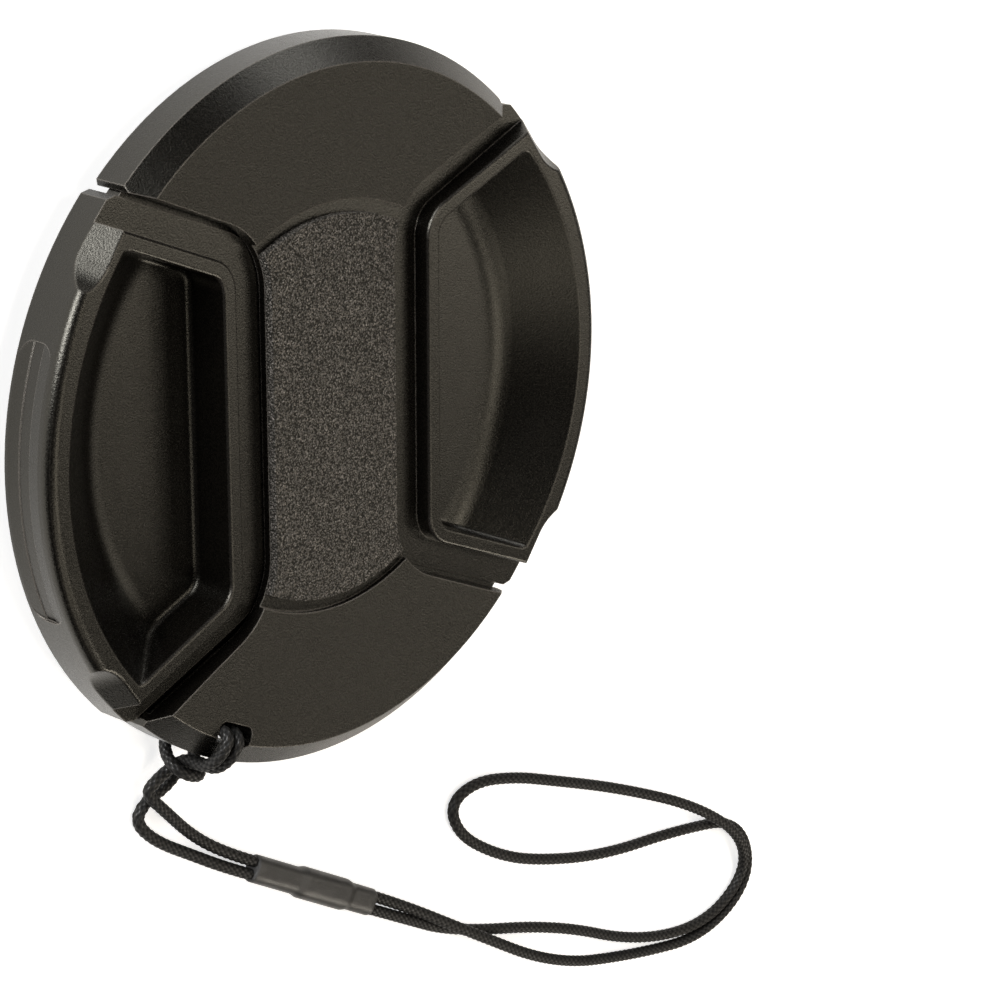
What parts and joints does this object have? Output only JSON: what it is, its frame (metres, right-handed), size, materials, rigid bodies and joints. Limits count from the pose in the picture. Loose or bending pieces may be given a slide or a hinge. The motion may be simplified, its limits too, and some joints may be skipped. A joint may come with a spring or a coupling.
{
  "type": "lens cap",
  "caption": "Round centre-pinch lens cap with two sprung finger clips that grip a filter thread, and a looped cord leash tied through a slot in its rim.",
  "frame": {"origin": "on the cap's axis, at the plane of the foot ring on which it lies on its back", "axes": "+Z out of the front face along the cap's axis, +X along the slide of the finger clips, +Y to the cap's upper side"},
  "size_m": [0.125, 0.1334, 0.0113],
  "materials": {
    "shell": "fine matt grain",
    "badge": "pebbled grain",
    "clip": "fine matt grain",
    "spring": "drawn wire",
    "cover": "fine matt grain",
    "cord": "round braid",
    "sleeve": "semi-matt shrunk tube"
  },
  "bodies": {
    "cap": {"front_shell": "shell", "badge_plate": "badge", "rear_cover": "cover", "upper_spring": "spring", "lower_spring": "spring", "leash_hitch": "cord", "leash_sleeve": "sleeve", "leash_loop": "cord"},
    "left_pinch": {"left_clip": "clip"},
    "right_pinch": {"right_clip": "clip"}
  },
  "joints": [
    {"name": "left_clip_slide", "type": "slide", "parent": "cap", "child": "left_pinch", "axis": [1, 0, 0], "range_m": [0, 0.00115], "stiffness_N_per_m": 2500, "springref_m": -0.0016, "deforming": ["upper_spring", "lower_spring"]},
    {"name": "right_clip_slide", "type": "slide", "parent": "cap", "child": "right_pinch", "axis": [-1, 0, 0], "range_m": [0, 0.00115], "stiffness_N_per_m": 2500, "springref_m": -0.0016, "deforming": ["upper_spring", "lower_spring"]}
  ]
}
